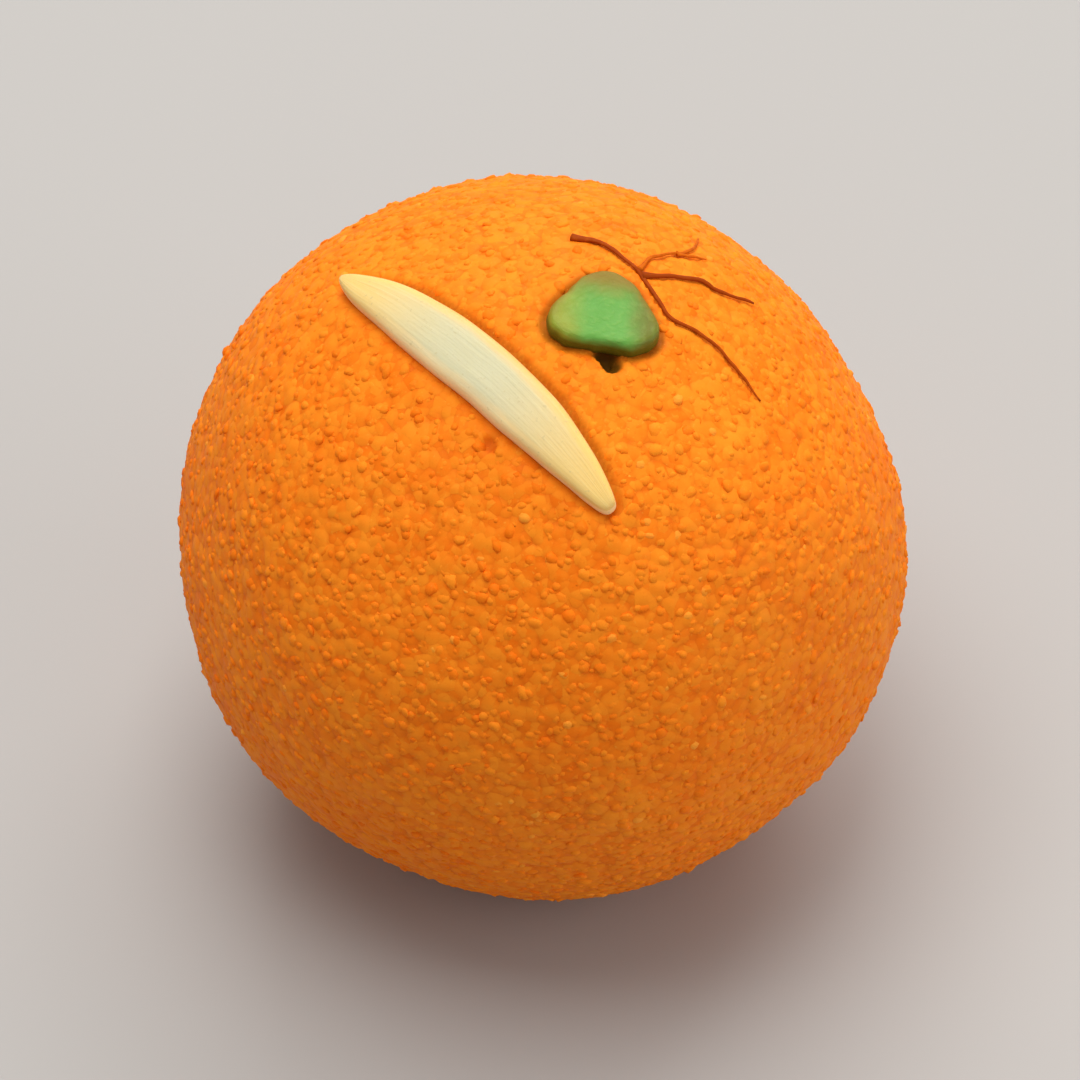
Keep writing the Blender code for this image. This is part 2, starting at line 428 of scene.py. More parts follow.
def sliver_station(along):
    """The sliver's middle, half width and half thickness, from its blunt end at -1 to its point at 1."""
    ring = math.sqrt(1.0 - along * along)
    taper = SLIVER_BOWED_TAPER if along > 0.0 else SLIVER_BLUNT_TAPER
    bowed = SLIVER_BOWED_REACH * ring ** (1.0 + taper * abs(along))
    straight = SLIVER_STRAIGHT_REACH * ring ** (SLIVER_STRAIGHT_POWER + SLIVER_STRAIGHT_TAPER * along)
    middle = Vector((0.5 * SLIVER_LENGTH * along, 0.5 * (bowed - straight), -SLIVER_BEND * along * along))
    return middle, 0.5 * (bowed + straight), SLIVER_HALF_THICKNESS * ring**SLIVER_END_POWER


def sliver_stations():
    stations = []
    for i in range(SLIVER_STATIONS + 1):
        share = (i + SLIVER_END_SHARE) / (SLIVER_STATIONS + 2.0 * SLIVER_END_SHARE)
        middle, half_width, half_thickness = sliver_station(-math.cos(math.pi * share))
        stations.append((middle, (1.0, half_width, half_thickness)))
    return stations


def make_sliver_shape():
    """The sliver drawn out from a squared section through its stations, in its own frame."""
    deselect_all()
    bpy.ops.mesh.primitive_circle_add(
        vertices=SLIVER_SIDES, radius=1.0, fill_type="NGON", rotation=(0.0, 0.5 * math.pi, 0.0)
    )
    sliver = bpy.context.object
    bpy.ops.object.transform_apply(location=True, rotation=True, scale=True)
    for vert in sliver.data.vertices:
        height = rounded(vert.co.z, SLIVER_TOP_POWER)
        if height < 0.0:
            height *= SLIVER_UNDERSIDE
        vert.co = (0.0, rounded(vert.co.y, SLIVER_SIDE_POWER), height)
    stations = sliver_stations()
    edit(sliver)
    place_section(sliver, stations[0])
    draw_out(stations)
    bpy.ops.mesh.select_all(action="SELECT")
    bpy.ops.mesh.normals_make_consistent(inside=False)
    deselect_all()
    put_in_order(sliver)
    apply_modifier(sliver, "SUBSURF", levels=3, render_levels=3)
    return sliver


def finish_sliver_shape(sliver, settings):
    """Dishes the cut face and lets the knife wander, and keeps each vertex's place on the sliver."""
    places = []
    for vert in sliver.data.vertices:
        along = max(-0.999, min(0.999, 2.0 * vert.co.x / SLIVER_LENGTH))
        middle, half_width, half_thickness = sliver_station(along)
        across = (vert.co.y - middle.y) / half_width
        up = (vert.co.z - middle.z) / half_thickness
        places.append((along, across, up))
        if up > 0.0:
            fullness = min(1.0, half_thickness / SLIVER_HALF_THICKNESS)
            vert.co.z -= settings.dish * max(0.0, 1.0 - across * across) ** 2 * fullness
        wander = drift(vert.co / KNIFE_WANDER_SIZE)
        vert.co.y += settings.unevenness * wander.y
        vert.co.z += KNIFE_WANDER_UP * settings.unevenness * wander.z
    store_place(sliver, places)


def almond_material(settings):
    material, nodes, shader = new_material(
        "Blanched almond", Specular_IOR_Level=0.25, Subsurface_Weight=0.25,
        Subsurface_Radius=(1.0, 0.8, 0.5), Subsurface_Scale=0.8 * MM,
    )
    place = nodes.add("ShaderNodeAttribute", {"attribute_name": "place"}, output="Vector")
    along, across, up = nodes.parts(place)
    stretched = nodes.add("ShaderNodeVectorMath", {"operation": "MULTIPLY"}, {0: place, 1: (3.2, 9.0, 3.0)})
    fibres = nodes.noise(stretched, 1.0, 3.0)
    ends = nodes.fade(nodes.maths("ABSOLUTE", along), 0.1, 0.95)
    wavy_across = across + (nodes.noise(place, 0.22) - 0.5) * 0.3
    rim = nodes.fade(wavy_across, 0.4, 0.88)
    straight_side = nodes.fade(wavy_across, -0.5, -1.0)
    colour = nodes.mix(rim, rgba(settings.flesh), rgba(settings.rim))
    # Painted bounce glow along the straight edge
    colour = nodes.mix(straight_side * 0.9, colour, rgba(settings.painted_bounce_glow))
    colour = nodes.mix(ends * 0.85, colour, rgba(settings.tips))
    colour = nodes.mix(nodes.fade(fibres, 0.4, 0.75) * 0.15, colour, rgba(FIBRE_COLOUR))
    # Painted bounce glow on the lower side and underside, which face away from the lights
    colour = nodes.mix(nodes.fade(up, 0.4, -0.1) * 0.9, colour, rgba(settings.painted_bounce_glow))
    spots = nodes.add("ShaderNodeTexCoord", output="Object")
    spot = nodes.noise(nodes.scaled(spots, 1.0 / MM), 0.28, 1.0)
    colour = nodes.mix(nodes.fade(spot, 0.68, 0.76) * 0.35, colour, rgba(SPOT_COLOUR))
    roughness = 0.42 + fibres * 0.15
    dress(nodes, shader, colour, roughness, fibres * 0.05 + spot * 0.02, 0.7)
    return material


class LADOO_OT_almond(bpy.types.Operator):
    """Model the blanched almond sliver"""

    bl_idname = "ladoo.almond"
    bl_label = "Almond sliver"

    def execute(self, context):
        settings = context.scene.ladoo_almond
        sliver = make_sliver_shape()
        finish_sliver_shape(sliver, settings)
        seat = seat_matrix(SLIVER_PLAN, SLIVER_HEADING, 0.0)
        settle(sliver, "blanched_almond", almond_material(settings), seat)
        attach(sliver, BODY)
        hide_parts("almond_sliver")
        return {"FINISHED"}


# Pistachio

PISTACHIO_SIDES = 24
PISTACHIO_PROFILE = (
    (-1.0, 0.25), (-0.94, 0.45), (-0.77, 0.70), (-0.5, 0.89), (-0.17, 0.98), (0.2, 1.0), (0.5, 0.985),
    (0.72, 0.975), (0.87, 0.94), (0.95, 0.87), (0.975, 0.74), (0.955, 0.45), (0.95, 0.18),
)
SHOULDER = 0.86
CREASE_SIZE = 2.0 * MM
KERNEL_SWELL = 0.08 * MM
KERNEL_SWELL_SIZE = 1.3 * MM
FRESH_COLOUR = (0.16, 0.39, 0.075)
PALE_FLESH_COLOUR = (0.32, 0.46, 0.12)


class PistachioSettings(bpy.types.PropertyGroup):
    wrinkles: FloatProperty(
        name="Wrinkles", description="Depth of the skin's wrinkles down the side", default=0.12 * MM,
        unit="LENGTH", precision=5,
    )
    kernel: FloatVectorProperty(
        name="Kernel", description="Colour of the cut face's middle", subtype="COLOR",
        default=(0.118, 0.33, 0.053), min=0.0, max=1.0,
    )
    # Painted highlight: the paler yellow-green on the left corner of the cut face
    painted_highlight_corner: FloatVectorProperty(
        name="Corner", description="Colour of the pale corner", subtype="COLOR",
        default=(0.26, 0.30, 0.028), min=0.0, max=1.0,
    )
    # Painted shade: the darker, duller green on the right of the cut face
    painted_shade_side: FloatVectorProperty(
        name="Dull side", description="Colour of the cut face's duller side", subtype="COLOR",
        default=(0.15, 0.145, 0.015), min=0.0, max=1.0,
    )
    apex: FloatVectorProperty(
        name="Apex", description="Colour where the cut face runs out into skin", subtype="COLOR",
        default=(0.25, 0.14, 0.008), min=0.0, max=1.0,
    )
    skin: FloatVectorProperty(
        name="Skin", description="Colour of the skin down the side", subtype="COLOR",
        default=(0.13, 0.12, 0.006), min=0.0, max=1.0,
    )


def three_sided(angle):
    """The pistachio's reach at a plan angle, as a share of its radius."""
    return 1.0 + PISTACHIO_THREE_SIDED * math.cos(3.0 * (angle - PISTACHIO_TURN))


def make_pistachio_shape():
    """The half kernel drawn up from its underside to its cut face, in its own frame."""
    deselect_all()
    bpy.ops.mesh.primitive_circle_add(vertices=PISTACHIO_SIDES, radius=1.0, fill_type="NGON")
    kernel = bpy.context.object
    for vert in kernel.data.vertices:
        vert.co *= three_sided(math.atan2(vert.co.y, vert.co.x))
    stations = []
    for height, reach in PISTACHIO_PROFILE:
        middle = Vector((0.0, 0.0, height * PISTACHIO_HALF_HEIGHT))
        stations.append((middle, reach * PISTACHIO_RADIUS * PISTACHIO_STRETCH))
    edit(kernel)
    place_section(kernel, stations[0])
    draw_out(stations)
    bpy.ops.mesh.select_all(action="SELECT")
    bpy.ops.mesh.normals_make_consistent(inside=False)
    deselect_all()
    put_in_order(kernel)
    apply_modifier(kernel, "SUBSURF", levels=3, render_levels=3)
    return kernel


def finish_pistachio_shape(kernel, settings):
    """Wrinkles the side, and keeps each vertex's place: its two plan shares and how far out it is.

    How far out goes from 0 in the middle of the cut face to 1 at its shoulder, and on down the side."""
    places = []
    normals = [vert.normal.copy() for vert in kernel.data.vertices]
    for vert, normal in zip(kernel.data.vertices, normals):
        right, back = vert.co.x / PISTACHIO_STRETCH.x, vert.co.y / PISTACHIO_STRETCH.y
        reach = math.hypot(right, back) / (PISTACHIO_RADIUS * three_sided(math.atan2(back, right)))
        height = vert.co.z / PISTACHIO_HALF_HEIGHT
        out = min(1.0, reach) if height > SHOULDER else 1.0 + SHOULDER - height
        places.append((vert.co.x / PISTACHIO_RADIUS, vert.co.y / PISTACHIO_RADIUS, out))
        side = max(0.0, min(1.0, (out - 0.8) / 0.5))
        creases = noise.noise(Vector((3.0 * vert.co.x, 3.0 * vert.co.y, 0.8 * vert.co.z)) / CREASE_SIZE)
        swell = noise.noise(vert.co / KERNEL_SWELL_SIZE)
        vert.co += normal * (settings.wrinkles * side * creases + KERNEL_SWELL * swell)
    store_place(kernel, places)


def pistachio_material(settings):
    material, nodes, shader = new_material(
        "Pistachio", Specular_IOR_Level=0.2, Subsurface_Weight=0.15,
        Subsurface_Radius=(0.6, 1.0, 0.3), Subsurface_Scale=0.6 * MM,
    )
    place = nodes.add("ShaderNodeAttribute", {"attribute_name": "place"}, output="Vector")
    right, back, out = nodes.parts(place)
    grain = nodes.noise(place, 0.16, 3.0)
    patches = nodes.noise(place, 0.6)
    fresher = nodes.fade(patches, 0.4, 0.65) * 0.35
    colour = nodes.mix(fresher, rgba(settings.kernel), rgba(FRESH_COLOUR))
    wavy_right = right + (patches - 0.5) * 0.4
    # Painted shade on the right of the cut face
    colour = nodes.mix(nodes.fade(wavy_right, 0.3, 0.85) * 0.9, colour, rgba(settings.painted_shade_side))
    # Painted highlight on the left corner of the cut face
    colour = nodes.mix(nodes.fade(wavy_right, -0.3, -0.95), colour, rgba(settings.painted_highlight_corner))
    colour = nodes.mix(nodes.fade(grain, 0.45, 0.7) * 0.15, colour, rgba(PALE_FLESH_COLOUR))
    wavy_out = out + (grain - 0.5) * 0.12
    wavy_back = back + (patches - 0.5) * 0.3
    brown = nodes.maths("MAXIMUM", nodes.fade(wavy_back, 0.15, 0.9),
                        nodes.fade(wavy_out, 0.72, 1.02) * nodes.fade(back, -0.5, 0.1))
    colour = nodes.mix(brown * 0.9, colour, rgba(settings.apex))
    colour = nodes.mix(nodes.fade(wavy_out, 1.15, 1.55), colour, rgba(settings.skin))
    roughness = 0.38 + grain * 0.2
    dress(nodes, shader, colour, roughness, grain * 0.09 + patches * 0.06, 0.7)
    return material


class LADOO_OT_pistachio(bpy.types.Operator):
    """Model the pistachio half"""

    bl_idname = "ladoo.pistachio"
    bl_label = "Pistachio half"

    def execute(self, context):
        settings = context.scene.ladoo_pistachio
        kernel = make_pistachio_shape()
        finish_pistachio_shape(kernel, settings)
        seat = seat_matrix(PISTACHIO_PLAN, 0.0, PISTACHIO_LIFT)
        settle(kernel, "pistachio_kernel", pistachio_material(settings), seat)
        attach(kernel, BODY)
        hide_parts("pistachio_half")
        return {"FINISHED"}


# Saffron

THREAD_SHADES = {"long": 0.85, "tail": 1.0, "curl": 0.4, "spur": 0.35}
THREAD_GIRTHS = {"long": 1.0, "tail": 1.1, "curl": 0.8, "spur": 0.75}
THREAD_HEAD = 2.1
THREAD_TIP = 0.55
THREAD_FLATNESS = 0.35
THREAD_HEAD_SHARE = 0.14
THREAD_WAVES = 0.9
THREAD_WAVER_UP = 0.05 * MM
THREAD_WAVER_ASIDE = 0.12 * MM
THREAD_WAVER_GIRTH = 0.18
THREAD_FRAY = 0.035 * MM
THREAD_FRAY_SIZE = 0.5 * MM
THREAD_MERGE = 0.005 * MM


class SaffronSettings(bpy.types.PropertyGroup):
    thickness: FloatProperty(
        name="Thickness", description="How thick a thread is along its middle", default=0.30 * MM,
        unit="LENGTH", precision=5,
    )
    dark: FloatVectorProperty(
        name="Dark", description="Colour of the darkest threads", subtype="COLOR",
        default=(0.30, 0.042, 0.001), min=0.0, max=1.0,
    )
    bright: FloatVectorProperty(
        name="Bright", description="Colour of the faintest threads", subtype="COLOR",
        default=(0.62, 0.125, 0.002), min=0.0, max=1.0,
    )


def smooth_route(route, step):
    """Points this far apart on a smooth curve through a route of plan places."""
    ends = [route[0]] + route + [route[-1]]
    points = []
    for i in range(1, len(ends) - 2):
        a, b, c, d = (Vector(p) for p in ends[i - 1 : i + 3])
        pieces = max(2, round((c - b).length * MM / step))
        for k in range(pieces):
            t = k / pieces
            points.append(0.5 * (2.0 * b + (c - a) * t + (2.0 * a - 5.0 * b + 4.0 * c - d) * t**2
                                 + (3.0 * b - a - 3.0 * c + d) * t**3))
    points.append(Vector(route[-1]))
    return points


def make_thread(name, route, settings):
    """One thread along its route, thicker at its head and drawn out to a fine tip."""
    places = smooth_route(route, THREAD_STEP)
    deselect_all()
    bpy.ops.curve.primitive_nurbs_path_add()
    thread = bpy.context.object
    data = thread.data
    data.splines.clear()
    data.bevel_depth = 0.5 * settings.thickness * THREAD_GIRTHS[name]
    data.bevel_resolution = 3
    data.use_fill_caps = True
    spline = data.splines.new("POLY")
    spline.points.add(len(places) - 1)
    middles = []
    for i, (point, place) in enumerate(zip(spline.points, places)):
        share = i / (len(places) - 1)
        waver = drift(Vector((place.x, place.y, 0.0)) * THREAD_WAVES)
        middle = surface_point(plan_direction(place), THREAD_LIFT + THREAD_WAVER_UP * waver.z)
        middles.append(middle + Vector((waver.x, waver.y, 0.0)) * THREAD_WAVER_ASIDE)
        point.co = (*middles[-1], 1.0)
        head = max(0.0, 1.0 - share / THREAD_HEAD_SHARE)
        girth = 1.0 + (THREAD_HEAD - 1.0) * head + (THREAD_TIP - 1.0) * share**3
        point.radius = girth + THREAD_WAVER_GIRTH * waver.z
    bpy.ops.object.convert(target="MESH")
    edit(thread)
    bpy.ops.mesh.select_all(action="SELECT")
    bpy.ops.mesh.remove_doubles(threshold=THREAD_MERGE)
    bpy.ops.mesh.normals_make_consistent(inside=False)
    deselect_all()
    put_in_order(thread)
    marks = []
    for vert in thread.data.vertices:
        nearest = min(range(len(middles)), key=lambda i: (middles[i] - vert.co).length_squared)
        middle = middles[nearest]
        out = (middle - BALL_CENTRE).normalized()
        vert.co -= out * (THREAD_FLATNESS * (vert.co - middle).dot(out))
        vert.co += THREAD_FRAY * drift(vert.co / THREAD_FRAY_SIZE)
        marks.append((nearest / (len(middles) - 1), THREAD_SHADES[name], 0.0))
    store_place(thread, marks)
    return thread


def saffron_material(settings):
    material, nodes, shader = new_material("Saffron", Specular_IOR_Level=0.05)
    place = nodes.add("ShaderNodeAttribute", {"attribute_name": "place"}, output="Vector")
    share, shade, _ = nodes.parts(place)
    spots = nodes.scaled(nodes.add("ShaderNodeTexCoord", output="Object"), 1.0 / MM)
    streaks = nodes.noise(spots, 0.35, 3.0)
    strength = shade + (streaks - 0.5) * 0.8 - nodes.fade(share, 0.7, 1.0) * 0.15
    colour = nodes.mix(nodes.fade(strength, 0.1, 0.95), rgba(settings.bright), rgba(settings.dark))
    dress(nodes, shader, colour, 0.4 + streaks * 0.25, streaks * 0.08, 0.6)
    return material


class LADOO_OT_saffron(bpy.types.Operator):
    """Lay the saffron threads on the crown"""

    bl_idname = "ladoo.saffron"
    bl_label = "Saffron threads"

    def execute(self, context):
        settings = context.scene.ladoo_saffron
        threads = [make_thread(name, route, settings) for name, route in THREAD_ROUTES.items()]
        deselect_all()
        for thread in threads:
            thread.select_set(True)
        context.view_layer.objects.active = threads[0]
        bpy.ops.object.join()
        saffron = settle(threads[0], "saffron_threads", saffron_material(settings))
        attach(saffron, BODY)
        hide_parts("ladoo_ball")
        return {"FINISHED"}


# Boondi, its grains in millimetres

BALL_SUBDIVISIONS = 7
LARGE_GRAIN = 0.88
LARGE_DOME = 0.085
SMALL_GRAIN = 0.56
SMALL_DOME = 0.055
DOME_FALL = 2.6
GRAIN_STEP = 0.07
GRAIN_MELD = 0.03
GRAIN_LEVEL = 0.08
SWAY = 0.5
SWAY_SIZE = 1.3
WIDE_SWELL_SIZE = 5.0
CLOSE_SWELL_SIZE = 2.2
CLOSE_SWELL_SHARE = 0.3
SEAT_DEPTH = 0.25 * MM
LIP_HEIGHT = 0.1 * MM
# Painted contact shadow in the grooves beside the nuts
CONTACT_SHADOW_COLOUR = (0.26, 0.075, 0.003)
# Painted shade deep in the pits
PAINTED_PIT_SHADE = (0.14, 0.055, 0.003)
NUTS = ("blanched_almond", "pistachio_kernel")
CLEAR_OF_TOPPINGS = 0.28 * MM
LOOK_DOWN_FROM = 30.0 * MM


class BoondiSettings(bpy.types.PropertyGroup):
    relief: FloatProperty(
        name="Relief", description="How strongly the pressed grains stand out", default=0.8, min=0.0,
    )
    swell: FloatProperty(
        name="Swell", description="How much the surface swells between hand marks", default=0.32 * MM,
        unit="LENGTH", precision=5,
    )
    pearl_size: FloatProperty(
        name="Pearl size", description="Size of the largest grains that stand out of the ball",
        default=1.1 * MM, unit="LENGTH", precision=5,
    )
    pearl_spacing: FloatProperty(
        name="Pearl spacing", description="Least distance between those grains", default=0.94 * MM,
        unit="LENGTH", precision=5,
    )
    bead_size: FloatProperty(
        name="Bead size", description="Size of the smaller round grains", default=0.8 * MM,
        unit="LENGTH", precision=5,
    )
    bead_spacing: FloatProperty(
        name="Bead spacing", description="Least distance between those grains", default=0.94 * MM,
        unit="LENGTH", precision=5,
    )
    crumb_size: FloatProperty(
        name="Crumb size", description="Size of the crumbs between them", default=0.6 * MM,
        unit="LENGTH", precision=5,
    )
    crumb_spacing: FloatProperty(
        name="Crumb spacing", description="Least distance between crumbs", default=0.9 * MM,
        unit="LENGTH", precision=5,
    )
    seed: IntProperty(name="Seed", description="Another number scatters the grains anew", default=7)
    deep: FloatVectorProperty(
        name="Deep", description="Colour of the deeper orange grains", subtype="COLOR",
        default=(0.88, 0.162, 0.002), min=0.0, max=1.0,
    )
    bright: FloatVectorProperty(
        name="Bright", description="Colour of the brighter grains", subtype="COLOR",
        default=(0.94, 0.27, 0.013), min=0.0, max=1.0,
    )
    # Painted shade: the darker red deep between grains, also used for small dark specks and the dent
    seam: FloatVectorProperty(
        name="Seam", description="Colour deep between grains", subtype="COLOR",
        default=(0.62, 0.10, 0.002), min=0.0, max=1.0,
    )
    speck: FloatVectorProperty(
        name="Speck", description="Colour of the few pale crumbs", subtype="COLOR",
        default=(0.96, 0.42, 0.05), min=0.0, max=1.0,
    )


def make_ball_shape():
    """A cube subdivided into an even ball, then pushed to the hand-rolled form."""
    deselect_all()
    bpy.ops.mesh.primitive_cube_add(size=BALL_RADIUS, location=BALL_CENTRE)
    ball = bpy.context.object
    apply_modifier(ball, "SUBSURF", levels=BALL_SUBDIVISIONS, render_levels=BALL_SUBDIVISIONS)
    for vert in ball.data.vertices:
        direction = vert.co.normalized()
        vert.co = direction * form_radius(direction)
    bpy.ops.object.transform_apply(location=True, rotation=True, scale=True)
    return ball


def join_pieces(nodes, names):
    pieces = [piece(name) for name in names]
    shapes = [nodes.add("GeometryNodeObjectInfo", {}, {"Object": one}, "Geometry") for one in pieces]
    return nodes.add("GeometryNodeJoinGeometry", {}, {"Geometry": shapes})


def press_grains(ball, settings):
    """Presses the seams, hollows and seats of the toppings into the ball, and flattens its foot."""
    nodes, mesh = relief_tree("Pressed grains")
    position = nodes.add("GeometryNodeInputPosition")
    direction, place, from_centre = ball_place(nodes, position)
    height, _ = pressed_grains(nodes, place)
    relief = (height - GRAIN_LEVEL) * (settings.relief * MM)
    relief += (nodes.noise(place, WIDE_SWELL_SIZE) - 0.5) * settings.swell
    relief += (nodes.noise(place, CLOSE_SWELL_SIZE, 1.0) - 0.5) * (CLOSE_SWELL_SHARE * settings.swell)
    for hollow in (*PITS, *DENTS):
        relief -= hollow_share(nodes, direction, hollow) * (hollow[2] * MM)

    beside = nodes.add("GeometryNodeProximity", {}, {"Geometry": join_pieces(nodes, NUTS)}, "Distance")
    beside = beside * (1.0 / MM)
    sliver_seat = seat_matrix(SLIVER_PLAN, SLIVER_HEADING, 0.0)
    bowed_way = sliver_seat.col[1].to_3d()
    over = nodes.vector("DOT_PRODUCT", position, bowed_way, output="Value")
    over = over - bowed_way.dot(sliver_seat.translation)
    # Painted contact shadow: the seat share darkens the ball close to the nuts, most on the sliver's bowed
    # side, and is stored for the material
    seat = nodes.fade(beside, 0.2, 0.75, 1.0, 0.0) * nodes.fade(over, -0.5 * MM, 1.5 * MM, 0.25, 1.0)
    keep = {"Geometry": mesh, "Name": "seat", "Value": seat}
    mesh = nodes.add("GeometryNodeStoreNamedAttribute", {"data_type": "FLOAT"}, keep, "Geometry")
    relief -= nodes.fade(beside, 0.1, 0.45, 1.0, 0.0) * SEAT_DEPTH
    relief += nodes.fade(beside, 0.4, 0.8) * nodes.fade(beside, 0.9, 2.4, 1.0, 0.0) * LIP_HEIGHT
    radius = nodes.vector("LENGTH", from_centre, output="Value") + relief

    above = nodes.vector("ADD", nodes.scaled(direction, LOOK_DOWN_FROM), BALL_CENTRE)
    look = {
        "Target Geometry": join_pieces(nodes, (*NUTS, "saffron_threads")), "Source Position": above,
        "Ray Direction": nodes.scaled(direction, -1.0), "Ray Length": 0.5 * LOOK_DOWN_FROM,
    }
    seen = nodes.add("GeometryNodeRaycast", {}, look, "Is Hit")
    drop_to = Field(nodes, seen.socket.node.outputs["Hit Distance"])
    under = LOOK_DOWN_FROM - CLEAR_OF_TOPPINGS - drop_to
    radius = nodes.maths("MINIMUM", radius, under + (1.0 - seen) * LOOK_DOWN_FROM)

    moved = nodes.vector("ADD", nodes.scaled(direction, radius), BALL_CENTRE)
    x, y, z = nodes.parts(moved)
    standing = nodes.add("ShaderNodeCombineXYZ", {}, {"X": x, "Y": y, "Z": nodes.maths("MAXIMUM", z, 0.0)})
    mesh = nodes.add("GeometryNodeSetPosition", {}, {"Geometry": mesh, "Position": standing})
    apply_relief(ball, nodes, mesh)


def boondi_material(name, settings, loose):
    """Boondi in ghee. Pressed grains repeat the ball's own relief, and loose ones bring their draws."""
    material, nodes, shader = new_material(name, Specular_IOR_Level=0.08)
    spots = nodes.add("ShaderNodeTexCoord", output="Object")
    direction, place, _ = ball_place(nodes, spots)
    in_mm = nodes.scaled(spots, 1.0 / MM)
    patches = nodes.noise(in_mm, 6.0)
    mottle = nodes.noise(in_mm, 0.9, 1.0)
    fine = nodes.noise(in_mm, 0.16, 2.0)
    if loose:
        draws = nodes.add("ShaderNodeAttribute", {"attribute_name": "draws"}, output="Vector")
        tone, shine, oddity = nodes.parts(draws)
        height = fine * 0.03
    else:
        height, (tone, shine, oddity) = pressed_grains(nodes, place)
    share = tone * 0.38 + patches * 0.42 + mottle * 0.5 - 0.15
    colour = nodes.mix(nodes.fade(share, 0.1, 0.9), rgba(settings.deep), rgba(settings.bright))
    if loose:
        colour = nodes.mix(nodes.maths("GREATER_THAN", oddity, 0.98) * 0.4, colour, rgba(settings.speck))
    else:
        # Painted shade in the crevices between the pressed grains, where their height is low
        colour = nodes.mix(nodes.fade(height, -0.06, 0.05, 0.45, 0.0), colour, rgba(settings.seam))
        height = height * 0.5
        # Painted contact shadow beside the nuts
        seat = nodes.add("ShaderNodeAttribute", {"attribute_name": "seat"}, output="Fac")
        colour = nodes.mix(seat * 0.7, colour, rgba(CONTACT_SHADOW_COLOUR))
    colour = nodes.mix(nodes.fade(fine, 0.62, 0.8) * 0.4, colour, rgba(settings.speck))
    # Dark specks where the fine noise is low, in the painted crevice shade's colour
    colour = nodes.mix(nodes.fade(fine, 0.38, 0.2) * 0.3, colour, rgba(settings.seam))
    # The dent is darkened with the painted crevice shade: partly a darker grain cluster, partly painted
    # shade in the hollow
    for hollow in DENTS:
        colour = nodes.mix(hollow_share(nodes, direction, hollow) * 0.75, colour, rgba(settings.seam))
    # The pits are painted dark brown for the shade in them
    for hollow in PITS:
        colour = nodes.mix(hollow_share(nodes, direction, hollow, 0.55), colour, rgba(PAINTED_PIT_SHADE))
    roughness = 0.55 + shine * 0.15 + (mottle - 0.5) * 0.2
    dress(nodes, shader, colour, roughness, height, 0.8)
    return material


class LADOO_OT_ball(bpy.types.Operator):
    """Press the boondi ball round its toppings"""

    bl_idname = "ladoo.ball"
    bl_label = "Boondi ball"

    def execute(self, context):
        settings = context.scene.ladoo_boondi
        ball = make_ball_shape()
        press_grains(ball, settings)
        settle(ball, "boondi_ball", boondi_material("Pressed boondi", settings, False))
        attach(ball, BODY)
        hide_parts("ladoo_ball")
        return {"FINISHED"}


# Grains that stand out of the ball

PEARL_SINK = (0.11, 0.21)
PEARL_SCALES = ((0.7, 0.7, 0.42), (1.15, 1.15, 0.58))
BEAD_SINK = (0.1, 0.22)
BEAD_SCALES = ((0.75, 0.75, 0.48), (1.15, 1.15, 0.64))
CRUMB_SINK = (0.12, 0.24)
CRUMB_SCALES = ((0.6, 0.6, 0.5), (1.2, 1.2, 0.7))
GRAIN_TILT = 0.35
CLEAR_OF_NUTS = 0.55 * MM
CLEAR_OF_THREADS = 0.45 * MM
CLEAR_OF_FOOT = 1.2 * MM
CLEAR_OF_PITS = 0.4
GRAIN_WOBBLE = 0.4
GRAIN_WOBBLE_SIZE = 0.9
MOST_GRAINS = 3.0e6


def make_pearl(size):
    """One rounded grain of 24 faces, which the others copy."""
    deselect_all()
    bpy.ops.mesh.primitive_cube_add(size=size)
    grain = bpy.context.object
    apply_modifier(grain, "SUBSURF", levels=1, render_levels=1)
    bpy.ops.object.shade_smooth()
    return grain


def make_crumb(size):
    """One crumb of 20 faces, longer one way and flatter another."""
    deselect_all()
    bpy.ops.mesh.primitive_ico_sphere_add(subdivisions=1, radius=0.5 * size)
    crumb = bpy.context.object
    edit(crumb)
    bpy.ops.mesh.select_all(action="SELECT")
    bpy.ops.transform.resize(value=(1.15, 0.9, 0.8), center_override=(0.0, 0.0, 0.0))
    activate(crumb)
    bpy.ops.object.shade_smooth()
    return crumb


